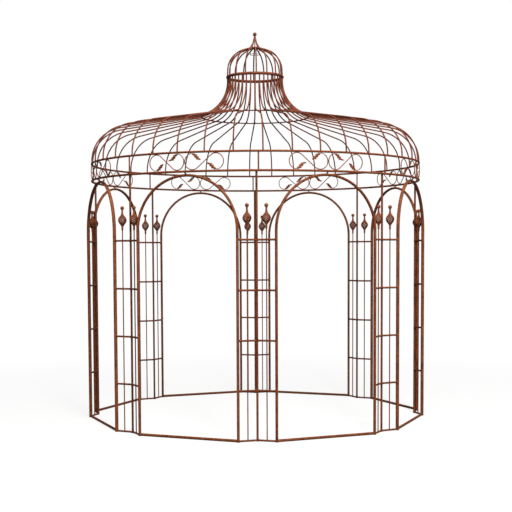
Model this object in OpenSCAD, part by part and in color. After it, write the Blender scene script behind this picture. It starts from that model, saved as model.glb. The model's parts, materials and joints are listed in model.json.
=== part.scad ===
// Round garden gazebo: eight bent-tube bay frames around a circle, a scroll
// frieze between two rings, and an open bell dome of rods with a small lantern.
// Millimetres, +Z up, origin on the ground at the centre.

/* [Plan] */
// Radius of the two frieze rings, to the middle of the tube
ring_r = 1500; // [1440:10:1600]
// How far outside the rings the legs of the bay frames stand
leg_out = 40; // [25:1:60]
// Half the distance between the two legs of one pillar
leg_half = 154; // [130:1:175]

/* [Heights] */
// Height of the foot bars above the ground, to the middle of the bar
foot_z = 9.5; // [9.5:0.5:16]
// Height from one rung of a trellis to the next
rung_pitch = 402; // [385:1:405]
// Height of the lower frieze ring, to the middle of the tube
lower_ring_z = 2165; // [2100:5:2220]
// Rise of the upper frieze ring above the lower one
frieze_h = 153; // [145:1:165]
// Drop from the lower ring to the crown of each arch, tube middle to tube middle
arch_drop = 35; // [28:1:45]

/* [Tubes and rods] */
// Diameter of the bent tube of a bay frame
leg_d = 21; // [18:0.5:23]
// Diameter of the threshold bar of a bay frame
threshold_d = 18; // [14:0.5:19]
// Diameter of the post in the middle of each pillar
post_d = 18; // [16:0.5:22]
// Diameter of the rungs and foot bars of a trellis
rung_d = 16; // [13:0.5:18]
// Diameter of the thin rods of a trellis
thin_d = 9.5; // [8:0.5:11]
// Diameter of the lower frieze ring
lower_ring_d = 16; // [14:0.5:20]
// Diameter of the upper frieze ring
upper_ring_d = 15; // [12:0.5:18]
// Diameter of the upright bars that end each frieze panel
end_bar_d = 13; // [10:0.5:15]
// Diameter of the scroll rods
scroll_d = 8; // [7:0.5:10]
// Diameter of the dome ribs
rib_d = 9.5; // [7:0.5:11]

/* [Frieze] */
// How far each end bar stands beside the line of its post
end_bar_shift = 16; // [0:1:25]
// Distance between the two turns of one scroll, middle to middle
scroll_pitch = 196; // [190:1:204]
// Angle that each turn of a scroll sweeps
scroll_sweep = 216; // [206:1:226]
// Length of a leaf
leaf_l = 94; // [80:1:100]
// Width of a leaf at its widest
leaf_w = 30; // [22:1:32]
// Thickness of a leaf
leaf_t = 3; // [2:0.5:4]
// How far a leaf swings to each side of its own line
leaf_wave = 4; // [0:0.5:6]
// Lean of a leaf away from the end of its turn, in degrees
leaf_lean = 38; // [34:1:44]

/* [Dome] */
// Turn of all the dome ribs away from the middle of the bays, in degrees
rib_turn = -2.5; // [-3:0.5:3]
// Rise of the shoulder's sharp corner above the upper ring
shoulder_rise = 298; // [290:1:315]
// Rise of the shoulder for each unit of run
shoulder_slope = 0.146; // [0.12:0.002:0.18]
// Radius of the shoulder bend
shoulder_bend = 314; // [280:2:320]
// Radius of the plan circle on which the ribs turn up into the neck
neck_foot_r = 426; // [405:1:445]
// Radius of the bend at the foot of the neck
neck_foot_bend = 110; // [70:2:130]
// Slope of the neck above its foot, in degrees
neck_slope = 49.5; // [46:0.5:52]
// Radius of the bend that brings the neck upright
neck_bend = 300; // [250:5:320]
// Diameter of the hoop that ties the ribs at the foot of the neck
hoop_d = 9; // [7:0.5:11]
// Radius of the collar ring on top of the neck
collar_r = 253; // [246:1:260]
// Rise of the collar ring above the neck's sharp corner
collar_rise = 150; // [140:1:170]
// Diameter of the collar ring's bar
collar_d = 22; // [16:0.5:24]

/* [Lantern and finial] */
// Turn of the lantern ribs from the first pillar, in degrees
lantern_turn = 2.5; // [0:0.5:11]
// How far the lantern ribs lean in below their bend
lantern_lean = 10; // [0:1:16]
// Rise of the lantern's sharp corner above the collar ring
lantern_rise = 203; // [190:1:220]
// Radius of the lantern bend
lantern_bend = 185; // [160:1:195]
// Radius of the crown ring
crown_r = 46; // [44:1:60]
// Rise of the crown ring above the lantern's sharp corner
crown_rise = 63; // [50:1:75]
// Diameter of the crown ring's bar
crown_d = 9; // [8:0.5:13]
// Thickness of the plate inside the crown ring
crown_plate_t = 4; // [3:0.5:6]
// Rise of the middle of the top ball above the crown ring
ball_rise = 125; // [112:1:140]
// Diameter of the top ball
top_ball_d = 36; // [30:1:42]
// Diameter of the wires that sweep up to the ball
finial_wire_d = 6; // [5:0.5:7]
// Radius at the sharp corner of those wires
waist_r = 18; // [14:1:22]
// Rise of that corner above the crown ring
waist_rise = 45; // [36:1:52]
// Radius of their bend
waist_bend = 80; // [60:5:100]
// Diameter of the stem under the ball
stem_d = 13; // [12:0.5:15]

/* [Basket finials] */
// Rise of the basket collar above the top rung
basket_rise = 80; // [70:1:100]
// Diameter of the basket collar
basket_collar_d = 17; // [15:0.5:20]
// Height of the basket collar
basket_collar_h = 38; // [30:1:44]
// Height of the basket of twisted wires
basket_h = 106; // [96:1:116]
// Diameter of the basket at its widest, outside
basket_d = 74; // [64:1:80]
// Number of wires in a basket
basket_wires = 6; // [4:1:8]
// Twist of the wires from foot to head, in degrees, negative for a left-hand twist
basket_twist = -270; // [-330:5:-200]
// Thickness of a basket wire
wire_d = 7.5; // [6:0.5:9]
// Height of the neck from the basket up to the middle of the ball
small_ball_rise = 48; // [40:1:60]
// Diameter of the neck
small_neck_d = 10; // [8:0.5:12]
// Diameter of the ball on a basket finial
small_ball_d = 28; // [24:1:32]

/* [Hidden] */
bays = 8;
ribs_per_bay = 5;
lantern_rib_count = 16;
finial_wire_count = 8;
rung_count = 4;
seat = 0.3; // gap left where one piece rests on another
overlap = 2; // length that a straight run reaches into the bend next to it
swage = 0.1; // a straight run is this much thinner, so that its end stays inside the bend

bay_angle = 360 / bays;
leg_r = ring_r + leg_out;
leg_angle = asin(leg_half / leg_r);
frame_half = leg_r * sin(bay_angle / 2 - leg_angle); // half width of a bay frame
frame_y = leg_r * cos(bay_angle / 2 - leg_angle);    // its plane, from the centre
upper_ring_z = lower_ring_z + frieze_h;
crown_of_arch_z = lower_ring_z - arch_drop;
leg_y = leg_r * cos(leg_angle);
post_y = ring_r - (lower_ring_d + post_d) / 2 - seat;
post_top_z = lower_ring_z + lower_ring_d / 4;
nub_d = 12; // stud between an arch and the lower ring
top_rung_z = foot_z + rung_count * rung_pitch;
collar_foot_z = top_rung_z + basket_rise;
thin_x = leg_half / 2;
thin_y = (leg_y + post_y) / 2;

// Frieze
band_low = lower_ring_z + lower_ring_d / 2 + seat;
band_high = upper_ring_z - upper_ring_d / 2 - seat;
scroll_mid_z = (band_low + band_high) / 2;
scroll_r = (band_high - band_low - scroll_d) / 2;
scroll_half = scroll_pitch / 2 + scroll_r + scroll_d / 2; // half length of one scroll
scroll_tilt = acos(2 * scroll_r / scroll_pitch);          // where the diagonal leaves a turn
scroll_y = ring_r * cos(asin(scroll_pitch / 2 / ring_r));
scroll_angle = atan((scroll_half + seat) / scroll_y);

bar_angle = asin(end_bar_shift / ring_r);
leaf_lobes = 4;
leaf_tip_d = 8;
leaf_lap = 2;         // degrees of the turn that the foot of a leaf covers
leaf_foot_share = 0.2; // width at the foot, as a share of the widest
leaf_notch = 0.62;     // width between two lobes, as a share of the lobes beside it
lobe_share = 0.8;      // how far along its length a lobe is widest

// Dome
rib_foot_z = upper_ring_z + upper_ring_d / 2 + seat;
shoulder_z = upper_ring_z + shoulder_rise;
neck_foot_z = shoulder_z + (ring_r - neck_foot_r) * shoulder_slope;
neck_corner_z = neck_foot_z + (neck_foot_r - collar_r) * tan(neck_slope);
collar_z = neck_corner_z + collar_rise;
rib_path = [[ring_r, rib_foot_z], [ring_r, shoulder_z], [neck_foot_r, neck_foot_z],
            [collar_r, neck_corner_z], [collar_r, collar_z - collar_d / 2 - seat]];
hoop_mid = bend_centre(rib_path[1], rib_path[2], rib_path[3], neck_foot_bend);
hoop_from_mid = neck_foot_bend + (rib_d + hoop_d) / 2 + seat;
hoop_dir = -110; // direction from the middle of that bend down to the hoop
hoop_r = hoop_mid.x + hoop_from_mid * cos(hoop_dir);
hoop_z = hoop_mid.y + hoop_from_mid * sin(hoop_dir);

// Lantern
lantern_corner = [collar_r - lantern_lean, collar_z + lantern_rise];
crown_z = lantern_corner.y + crown_rise;
lantern_run = [crown_r, crown_z] - lantern_corner;
lantern_head = [crown_r, crown_z] - (crown_d / 2 + seat) * unit(lantern_run);
lantern_path = [[collar_r, collar_z + collar_d / 2 + seat], lantern_corner, lantern_head];

// Roof finial
top_ball_z = crown_z + ball_rise;
wire_head_r = 4.5;   // radius at which the wires end inside the stem
wire_head_drop = 21; // their ends below the middle of the ball
waist = [waist_r, crown_z + waist_rise];
crown_mid = [crown_r, crown_z];
wire_path = [crown_mid + (crown_d / 2 + seat) * unit(waist - crown_mid), waist,
             [wire_head_r, top_ball_z - wire_head_drop]];
stem_h = 55;         // length of the stem below the middle of the ball

// Basket finials
basket_foot_z = collar_foot_z + basket_collar_h;
basket_top_z = basket_foot_z + basket_h;
small_ball_z = basket_top_z + small_ball_rise;
basket_steps = 11;
wire_end_r = 4;      // radius of the ring of wire ends
wire_reach = 3;      // how far the wires reach into the collar and the neck
basket_flare = 1.2;  // above 1, the wires leave the collar and the neck gently
collar_taper_h = 12; // length of the cone at the foot of a collar
wire_ahead = 0.01;   // step along a wire that gives its direction

steel = "#7d4128";
steel_dark = "#6a3622";
steel_light = "#8f4e30";

$fn = 48;

// --- helpers --------------------------------------------------------------

// Signed turn of a path at b, in degrees, left positive
function turn(a, b, c) =
    let (t = atan2(c.y - b.y, c.x - b.x) - atan2(b.y - a.y, b.x - a.x))
    t > 180 ? t - 360 : t < -180 ? t + 360 : t;

// Length that a bend of radius r takes from each leg of the corner at b
function trim(a, b, c, r) = r * tan(abs(turn(a, b, c)) / 2);

function unit(v) = v / norm(v);

// Middle of the bend of radius r that rounds the corner at b
function bend_centre(a, b, c, r) =
    let (u = unit(b - a), side = sign(turn(a, b, c)))
    b - u * trim(a, b, c, r) + side * r * [-u.y, u.x];

// Straight round rod between two points
module rod(p, q, d) {
    v = q - p;
    translate(p)
        rotate([0, acos(v.z / norm(v)), atan2(v.y, v.x)])
            cylinder(h = norm(v), d = d);
}

// Bend of a round rod in the XZ plane
module bend(centre, r, start, sweep, d) {
    translate([centre.x, 0, centre.y])
        rotate([90, 0, 0])
            rotate([0, 0, sweep > 0 ? start : start + sweep])
                rotate_extrude(angle = abs(sweep))
                    translate([r, 0]) circle(d = d);
}

// Rod bent along a path of corners in the XZ plane, with one radius a corner
module bent_rod(path, radii, d) {
    last = len(path) - 1;
    trims = [for (i = [0:last])
        i == 0 || i == last ? 0 : trim(path[i - 1], path[i], path[i + 1], radii[i - 1])];
    for (i = [0:last - 1]) {
        u = unit(path[i + 1] - path[i]);
        a = path[i] + u * trims[i];
        b = path[i + 1] - u * trims[i + 1];
        inset_a = i == 0 ? [0, 0] : u * overlap;
        inset_b = i == last - 1 ? [0, 0] : u * overlap;
        p = a - inset_a;
        q = b + inset_b;
        if ((b - a) * u > 1)
            rod([p.x, 0, p.y], [q.x, 0, q.y], d - swage);
    }
    for (i = [1:last - 1]) {
        c = bend_centre(path[i - 1], path[i], path[i + 1], radii[i - 1]);
        e = path[i] - unit(path[i] - path[i - 1]) * trims[i];
        bend(c, radii[i - 1], atan2(e.y - c.y, e.x - c.x),
            turn(path[i - 1], path[i], path[i + 1]), d);
    }
}

// Flat ring of round bar
module hoop(r, z, d) {
    translate([0, 0, z])
        rotate_extrude() translate([r, 0]) circle(d = d);
}

// Turns pillar k, or the bay after it, to its place; number 1 faces -Y
module at_pillar(k) { rotate([0, 0, bay_angle * (k - 1)]) children(); }
module at_bay(k) { rotate([0, 0, bay_angle * (k - 0.5)]) children(); }

// --- bay frames -----------------------------------------------------------

// One tube from the ground up, over the arch and down again, with its threshold
module bay_frame(k) {
    color(steel) at_bay(k) translate([0, -frame_y, 0]) {
        bent_rod(
            [[-frame_half, 0], [-frame_half, crown_of_arch_z],
             [frame_half, crown_of_arch_z], [frame_half, 0]],
            [frame_half, frame_half], leg_d);
        rod([-frame_half, 0, foot_z], [frame_half, 0, foot_z], threshold_d);
        arch_nub();
    }
}

// Short stud from the crown of the arch out to the lower ring
module arch_nub() {
    from = [0, 0, crown_of_arch_z];
    to = [0, frame_y - ring_r, lower_ring_z];
    run = to - from;
    rod(from, to - unit(run) * (lower_ring_d / 2 + seat), nub_d);
}

// --- trellises ------------------------------------------------------------

// Post, rungs and thin rods between the two legs of pillar k
module trellis(k) {
    color(steel_dark) at_pillar(k) {
        translate([0, -post_y, 0]) cylinder(h = post_top_z, d = post_d);
        for (s = [-1, 1])
            rod([s * thin_x, -thin_y, foot_z],
                [s * thin_x, -thin_y, collar_foot_z - seat], thin_d);
        difference() {
            for (i = [0:rung_count], s = [-1, 1]) {
                z = foot_z + i * rung_pitch;
                rod([0, -post_y, z], [s * leg_half, -leg_y, z], rung_d);
            }
            for (s = [-1, 1])
                translate([s * leg_half, -leg_y, -1])
                    cylinder(h = top_rung_z + rung_d, d = leg_d + 2 * seat);
        }
    }
}

// --- basket finials -------------------------------------------------------

// Middle line of a basket wire at t from 0 at the foot to 1 at the head
function basket_swell(t) = pow(sin(180 * min(max(t, 0), 1)), basket_flare);
function wire_point(t, turn0) =
    let (r = wire_end_r + ((basket_d - wire_d) / 2 - wire_end_r) * basket_swell(t),
         a = turn0 + basket_twist * t)
    [r * cos(a), r * sin(a), basket_foot_z - wire_reach + (basket_h + 2 * wire_reach) * t];

// Four corners of the wire's section at t
function wire_section(t, turn0) =
    let (p = wire_point(t, turn0),
         ahead = unit(wire_point(t + wire_ahead, turn0) - wire_point(t - wire_ahead, turn0)),
         a = turn0 + basket_twist * t,
         out0 = [cos(a), sin(a), 0],
         out = unit(out0 - (out0 * ahead) * ahead),
         side = cross(ahead, out))
    [for (w = [out, side, -out, -side]) p + w * wire_d / 2];

module basket_wire(turn0) {
    points = [for (i = [0:basket_steps]) each wire_section(i / basket_steps, turn0)];
    top = 4 * basket_steps;
    faces = [
        [0, 1, 2], [0, 2, 3],
        for (i = [0:basket_steps - 1], j = [0:3])
            let (a = 4 * i + j, b = 4 * i + (j + 1) % 4)
            each [[a, a + 4, b], [b, a + 4, b + 4]],
        [top, top + 2, top + 1], [top, top + 3, top + 2],
    ];
    polyhedron(points, faces);
}

// Collar, twisted wires, neck and ball on one thin rod
module basket_finial() {
    translate([0, 0, collar_foot_z])
        cylinder(h = collar_taper_h, d1 = thin_d, d2 = basket_collar_d);
    translate([0, 0, collar_foot_z + collar_taper_h])
        cylinder(h = basket_collar_h - collar_taper_h, d = basket_collar_d);
    for (i = [0:basket_wires - 1]) basket_wire(i * 360 / basket_wires);
    translate([0, 0, basket_top_z])
        cylinder(h = small_ball_z - basket_top_z, d = small_neck_d);
    translate([0, 0, small_ball_z]) sphere(d = small_ball_d);
}

module basket_finials() {
    color(steel_light)
        for (k = [1:bays], s = [-1, 1])
            at_pillar(k) translate([s * thin_x, -thin_y, 0]) basket_finial();
}

// --- frieze ---------------------------------------------------------------

module lower_ring() { color(steel) hoop(ring_r, lower_ring_z, lower_ring_d); }
module upper_ring() { color(steel) hoop(ring_r, upper_ring_z, upper_ring_d); }

// Outline of a leaf from its foot at the origin along +X, waved to both sides
function leaf_spine(t) = [leaf_l * t, -leaf_wave * sin(360 * t)];
function leaf_reach(t) =
    leaf_w / 2 * (leaf_foot_share + (1 - leaf_foot_share) * sin(180 * t));
function leaf_side(s) = [
    for (i = [0:leaf_lobes])
        let (t = i / (leaf_lobes + 1), next = (i + lobe_share) / (leaf_lobes + 1))
        each [leaf_spine(t) + [0, s * leaf_reach(t) * leaf_notch],
              leaf_spine(next) + [0, s * leaf_reach(next)]]];
function reversed(v) = [for (i = [len(v) - 1:-1:0]) v[i]];

module leaf() {
    translate([0, 0, -leaf_t / 2]) linear_extrude(leaf_t)
        polygon(concat(leaf_side(-1), [leaf_spine(1)], reversed(leaf_side(1))));
    tip = leaf_spine(1);
    translate([tip.x, tip.y, 0]) sphere(d = leaf_tip_d);
}

// One scroll in the XZ plane, its middle at the origin, a leaf at each end
module scroll() {
    c = [-scroll_pitch / 2, 0];
    begin = 360 - scroll_tilt - scroll_sweep;
    foot = c + scroll_r * [cos(begin + leaf_lap), sin(begin + leaf_lap)];
    for (half_turn = [0, 180]) rotate([0, half_turn, 0]) {
        bend(c, scroll_r, begin, scroll_sweep, scroll_d);
        translate([foot.x, 0, foot.y]) rotate([90, 0, 0])
            rotate([0, 0, begin - 90 - leaf_lean]) mirror([0, 1, 0]) leaf();
    }
    half_run = scroll_pitch / 2 * sin(scroll_tilt) + overlap;
    run = [sin(scroll_tilt), 0, cos(scroll_tilt)] * half_run;
    rod(-run, run, scroll_d - swage);
}

// Two mirrored scrolls and the end bar at the first pillar of bay k
module frieze(k) {
    color(steel_light) {
        at_bay(k) for (m = [0, 1]) mirror([m, 0, 0])
            rotate([0, 0, scroll_angle]) translate([0, -scroll_y, scroll_mid_z]) scroll();
        at_pillar(k) rotate([0, 0, bar_angle]) translate([0, -ring_r, band_low])
            cylinder(h = band_high - band_low, d = end_bar_d);
    }
}

// --- dome -----------------------------------------------------------------

// Five ribs over bay k
module roof_ribs(k) {
    color(steel)
        for (i = [0:ribs_per_bay - 1])
            at_pillar(k)
                rotate([0, 0, (i + 0.5) * bay_angle / ribs_per_bay + rib_turn - 90])
                    bent_rod(rib_path, [shoulder_bend, neck_foot_bend, neck_bend], rib_d);
}

module neck_hoop() { color(steel_dark) hoop(hoop_r, hoop_z, hoop_d); }
module collar_ring() { color(steel_dark) hoop(collar_r, collar_z, collar_d); }

module lantern_ribs() {
    color(steel)
        for (i = [0:lantern_rib_count - 1])
            rotate([0, 0, i * 360 / lantern_rib_count + lantern_turn - 90])
                bent_rod(lantern_path, [lantern_bend], rib_d);
}

// Ring of round bar with a plate across it
module crown_ring() {
    color(steel_dark) {
        hoop(crown_r, crown_z, crown_d);
        translate([0, 0, crown_z - crown_plate_t / 2]) cylinder(h = crown_plate_t, r = crown_r);
    }
}

// Wires that sweep up from the crown ring to a stem with a ball
module roof_finial() {
    color(steel_light) {
        for (i = [0:finial_wire_count - 1])
            rotate([0, 0, i * 360 / finial_wire_count])
                bent_rod(wire_path, [waist_bend], finial_wire_d);
        translate([0, 0, top_ball_z - stem_h]) cylinder(h = stem_h, d = stem_d);
        translate([0, 0, top_ball_z]) sphere(d = top_ball_d);
    }
}

// --- what is drawn --------------------------------------------------------

for (k = [1:bays]) {
    bay_frame(k);
    trellis(k);
    frieze(k);
    roof_ribs(k);
}
basket_finials();
lower_ring();
upper_ring();
neck_hoop();
collar_ring();
lantern_ribs();
crown_ring();
roof_finial();
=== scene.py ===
"""The round garden gazebo, dressed: rusted finishes, bent bay frames and dome, twisted
wire baskets, a scroll frieze with veined leaves, weld beads and a pale studio."""

import json
import math

import bmesh
import bpy
from mathutils import Matrix, Vector


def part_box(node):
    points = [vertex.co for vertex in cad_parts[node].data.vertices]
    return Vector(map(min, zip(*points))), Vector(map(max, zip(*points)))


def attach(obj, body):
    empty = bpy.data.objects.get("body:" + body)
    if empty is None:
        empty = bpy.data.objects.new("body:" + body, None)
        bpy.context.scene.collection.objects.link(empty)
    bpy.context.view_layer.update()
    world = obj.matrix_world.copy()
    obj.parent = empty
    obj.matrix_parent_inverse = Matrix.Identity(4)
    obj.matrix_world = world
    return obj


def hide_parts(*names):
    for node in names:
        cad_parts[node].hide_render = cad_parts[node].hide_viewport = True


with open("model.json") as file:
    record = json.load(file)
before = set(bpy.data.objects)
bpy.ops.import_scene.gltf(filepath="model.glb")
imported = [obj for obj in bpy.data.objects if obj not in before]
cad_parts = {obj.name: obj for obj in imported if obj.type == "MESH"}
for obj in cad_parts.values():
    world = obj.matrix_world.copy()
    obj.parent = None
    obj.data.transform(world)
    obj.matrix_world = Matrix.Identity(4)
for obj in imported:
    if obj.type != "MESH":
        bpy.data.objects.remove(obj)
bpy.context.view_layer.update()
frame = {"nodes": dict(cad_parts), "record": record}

bl_info = {
    "name": "Round Garden Gazebo",
    "version": (1, 0, 0),
    "blender": (4, 5, 0),
    "location": "3D View > Sidebar > Gazebo",
    "description": "Finishes and fine pieces of a rusted steel garden gazebo",
    "category": "Object",
}

NODES = frame["nodes"]

BAYS = 8
TURN = 2 * math.pi / BAYS
RIBS_PER_BAY = 5
LANTERN_RIBS = 16
FINIAL_WIRES = 8
# rungs of a pillar, with the bar at its foot
RUNGS = 5


# --- sizes read from the frame -----------------------------------------------

def ring_of(node):
    """Radius, height and bar thickness of a flat ring."""
    low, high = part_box(node)
    bar = high.z - low.z
    return high.x - bar / 2, (high.z + low.z) / 2, bar


RING_R, LOWER_Z, LOWER_BAR = ring_of("lower_ring")
_, UPPER_Z, UPPER_BAR = ring_of("upper_ring")
COLLAR_R, COLLAR_Z, COLLAR_BAR = ring_of("collar_ring")
CROWN_R, CROWN_Z, CROWN_BAR = ring_of("crown_ring")

# gap between a bar and the one it stands on
SEAT = 0.0003
# a pillar's legs: how far outside the rings, and half their distance
LEG_OUT = 0.040
LEG_HALF = 0.154
# middle of the lowest rung, and the step to the next
FOOT_Z = 0.0095
RUNG_PITCH = 0.402
# thicknesses of the frame's bars
POST_D = 0.018
LEG_D = 0.021
THRESHOLD_D = 0.018
RUNG_D = 0.016
THIN_D = 0.0095
LANTERN_ROD = 0.0095
END_BAR_D = 0.013
NUB_D = 0.012
FINIAL_WIRE_D = 0.006
# turns around Z of the dome's ribs, of their necks and of the lantern's ribs
RIB_TURN = math.radians(-2.5)
NECK_TURN = math.radians(-2.0)
LANTERN_TURN = math.radians(2.5)
# end bar of the frieze, anticlockwise of its pillar
END_BAR_SHIFT = 0.016
# crown of an arch, below the lower ring
ARCH_DROP = 0.029

LEG_R = RING_R + LEG_OUT
LEG_ANGLE = math.asin(LEG_HALF / LEG_R)
LEG_Y = LEG_R * math.cos(LEG_ANGLE)
POST_Y = RING_R - (LOWER_BAR + POST_D) / 2 - SEAT
THIN_X = LEG_HALF / 2
THIN_Y = (LEG_Y + POST_Y) / 2
FRAME_Y = LEG_R * math.cos(TURN / 2 - LEG_ANGLE)
FRAME_HALF = LEG_R * math.sin(TURN / 2 - LEG_ANGLE)
THIN_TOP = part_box("basket_finials")[0].z


def at_pillar(k, turn=0.0):
    """Place of pillar k, counted from 0 at the front, anticlockwise."""
    return Matrix.Rotation(TURN * k + turn, 4, "Z")


def at_bay(k):
    """Place of the bay between pillars k and k + 1."""
    return Matrix.Rotation(TURN * (k + 0.5), 4, "Z")


# --- helpers -----------------------------------------------------------------

def paint(code):
    """sRGB hex to the linear colour that a shader takes."""
    parts = [int(code[i:i + 2], 16) / 255 for i in (1, 3, 5)]
    linear = [c / 12.92 if c <= 0.04045 else ((c + 0.055) / 1.055) ** 2.4 for c in parts]
    return (*linear, 1.0)


def add_node(tree, kind, inputs=None, **settings):
    """One node with its settings; an input is a value, the socket that feeds it, or a
    node that feeds it from its first output in use."""
    node = tree.nodes.new(kind)
    for name, value in settings.items():
        setattr(node, name, value)
    for key, value in (inputs or {}).items():
        if isinstance(value, bpy.types.Node):
            value = next(socket for socket in value.outputs if socket.enabled)
        if isinstance(value, bpy.types.NodeSocket):
            tree.links.new(value, node.inputs[key])
        else:
            node.inputs[key].default_value = value
    return node


def clear_tree(owner):
    """The node tree of a new material or world, emptied."""
    owner.use_nodes = True
    owner.node_tree.nodes.clear()
    return owner.node_tree


def spread(ramp, stops):
    """Gives a colour ramp its stops, as (place, colour)."""
    elements = ramp.color_ramp.elements
    while len(elements) < len(stops):
        elements.new(0.5)
    for element, stop in zip(elements, stops):
        element.position, element.color = stop


def new_object(name, data):
    """An object in the scene."""
    thing = bpy.data.objects.new(name, data)
    bpy.context.scene.collection.objects.link(thing)
    return thing


def mesh_object(name, vertices, faces, smooth=True):
    """Object of a mesh with its faces turned outward."""
    mesh = bpy.data.meshes.new(name)
    mesh.from_pydata([tuple(v) for v in vertices], [], faces)
    mesh.validate()
    work = bmesh.new()
    work.from_mesh(mesh)
    bmesh.ops.recalc_face_normals(work, faces=work.faces)
    for face in work.faces:
        face.smooth = smooth
    work.to_mesh(mesh)
    work.free()
    return new_object(name, mesh)


def place(points, matrix):
    """The points, moved."""
    return [matrix @ Vector(p) for p in points]


def moved(shape, matrix):
    """A shape, which is a list of corners and one of faces, moved."""
    corners, faces = shape
    return place(corners, matrix), faces


def join(shapes):
    """One list of corners and faces from several."""
    corners, faces = [], []
    for shape_corners, shape_faces in shapes:
        start = len(corners)
        corners += list(shape_corners)
        faces += [[start + i for i in face] for face in shape_faces]
    return corners, faces


def skin(rings, closed=False):
    """Corners and faces of equal rings, each joined to the next; closed joins the last
    to the first."""
    sides = len(rings[0])
    faces = []
    for i in range(len(rings) if closed else len(rings) - 1):
        low, high = i * sides, (i + 1) % len(rings) * sides
        for j in range(sides):
            n = (j + 1) % sides
            faces.append([low + j, low + n, high + n, high + j])
    return [corner for ring in rings for corner in ring], faces


def tube(path, radius, sides=10, up=Vector((0, 1, 0))):
    """Round bar along a path, closed at both ends; radius is a number or one per point."""
    path = [Vector(p) for p in path]
    radii = radius if isinstance(radius, list) else [radius] * len(path)
    rings = []
    for i, p in enumerate(path):
        ahead = (path[min(i + 1, len(path) - 1)] - path[max(i - 1, 0)]).normalized()
        side = ahead.cross(up).normalized()
        over = side.cross(ahead)
        turns = [2 * math.pi * j / sides for j in range(sides)]
        rings.append([p + radii[i] * (math.cos(a) * side + math.sin(a) * over)
                      for a in turns])
    corners, faces = skin(rings)
    faces.append(list(range(sides))[::-1])
    faces.append(list(range(len(corners) - sides, len(corners))))
    return corners, faces


def turned(profile, sides=20):
    """Solid turned around Z from its profile; a point on the axis closes an end."""
    corners, faces, rings = [], [], []
    for r, z in profile:
        if r <= 0:
            rings.append([len(corners)])
            corners.append(Vector((0, 0, z)))
        else:
            rings.append([len(corners) + j for j in range(sides)])
            corners += [Vector((r * math.cos(2 * math.pi * j / sides),
                                r * math.sin(2 * math.pi * j / sides), z))
                        for j in range(sides)]
    for low, high in zip(rings, rings[1:]):
        for j in range(sides):
            n = (j + 1) % sides
            if len(low) == 1:
                faces.append([low[0], high[n], high[j]])
            elif len(high) == 1:
                faces.append([low[j], low[n], high[0]])
            else:
                faces.append([low[j], low[n], high[n], high[j]])
    return corners, faces


def ball_arc(middle, r, stem_r, steps):
    """Profile of a ball from its stem to its top."""
    start = -math.acos(stem_r / r)
    angles = [start + (math.pi / 2 - start) * i / steps for i in range(steps)]
    return [(r * math.cos(a), middle + r * math.sin(a)) for a in angles] + [(0, middle + r)]


def hoop_shape(radius, z, rod, around, sides=10):
    """A round bar bent to a flat ring."""
    rings = []
    for i in range(around):
        a = 2 * math.pi * i / around
        ring = []
        for j in range(sides):
            b = 2 * math.pi * j / sides
            r = radius + rod / 2 * math.cos(b)
            ring.append(Vector((r * math.cos(a), r * math.sin(a), z + rod / 2 * math.sin(b))))
        rings.append(ring)
    return skin(rings, closed=True)


def new_growth(name, inputs):
    """A geometry tree with its named inputs, and the sockets they come in by."""
    tree = bpy.data.node_groups.new(name, "GeometryNodeTree")
    face = tree.interface
    face.new_socket(name="Geometry", in_out="INPUT", socket_type="NodeSocketGeometry")
    face.new_socket(name="Geometry", in_out="OUTPUT", socket_type="NodeSocketGeometry")
    for key, kind in inputs.items():
        face.new_socket(name=key, in_out="INPUT", socket_type="NodeSocket" + kind)
    return tree, add_node(tree, "NodeGroupInput").outputs


def round_bar(tree, curve, radius, sides):
    """Nodes of a round bar along a curve."""
    section = add_node(tree, "GeometryNodeCurvePrimitiveCircle", {
        "Resolution": sides, "Radius": radius})
    return add_node(tree, "GeometryNodeCurveToMesh", {
        "Curve": curve, "Profile Curve": section, "Fill Caps": True})


def around_z(tree, shape, count, first):
    """Nodes that repeat a shape around Z, evenly from the angle first."""
    places = add_node(tree, "GeometryNodeMeshLine", {"Count": count, "Offset": (0, 0, 0)})
    index = add_node(tree, "GeometryNodeInputIndex")
    step = add_node(tree, "ShaderNodeMath", {0: 2 * math.pi, 1: count}, operation="DIVIDE")
    turn = add_node(tree, "ShaderNodeMath", {
        0: index, 1: step, 2: first}, operation="MULTIPLY_ADD")
    around = add_node(tree, "ShaderNodeCombineXYZ", {"Z": turn})
    return add_node(tree, "GeometryNodeInstanceOnPoints", {
        "Points": places, "Instance": shape, "Rotation": around})


def end_growth(tree, instances, material):
    """Makes the instances real, smooth and coated, and sends them out."""
    real = add_node(tree, "GeometryNodeRealizeInstances", {"Geometry": instances})
    smooth = add_node(tree, "GeometryNodeSetShadeSmooth", {"Geometry": real})
    coated = add_node(tree, "GeometryNodeSetMaterial", {"Geometry": smooth, "Material": material})
    add_node(tree, "NodeGroupOutput", {"Geometry": coated})


def grown(name, points, tree, values, vectors=None, edges=()):
    """Runs a tree on a set of points and returns the result as a plain mesh; vectors
    are named attributes with one value for each point."""
    dots = bpy.data.meshes.new(name + "_points")
    dots.from_pydata([tuple(p) for p in points], edges, [])
    for key, rows in (vectors or {}).items():
        layer = dots.attributes.new(key, "FLOAT_VECTOR", "POINT")
        layer.data.foreach_set("vector", [c for row in rows for c in row])
    carrier = new_object(name + "_points", dots)
    modifier = carrier.modifiers.new("grow", "NODES")
    modifier.node_group = tree
    for socket in tree.interface.items_tree:
        if socket.name in values:
            modifier[socket.identifier] = values[socket.name]
    bpy.context.view_layer.update()
    seen = carrier.evaluated_get(bpy.context.evaluated_depsgraph_get())
    mesh = bpy.data.meshes.new_from_object(seen)
    mesh.name = name
    carrier.modifiers.remove(modifier)
    bpy.data.objects.remove(carrier)
    if not mesh.polygons:
        raise RuntimeError(f"{name} grew nothing")
    return new_object(name, mesh)


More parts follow.
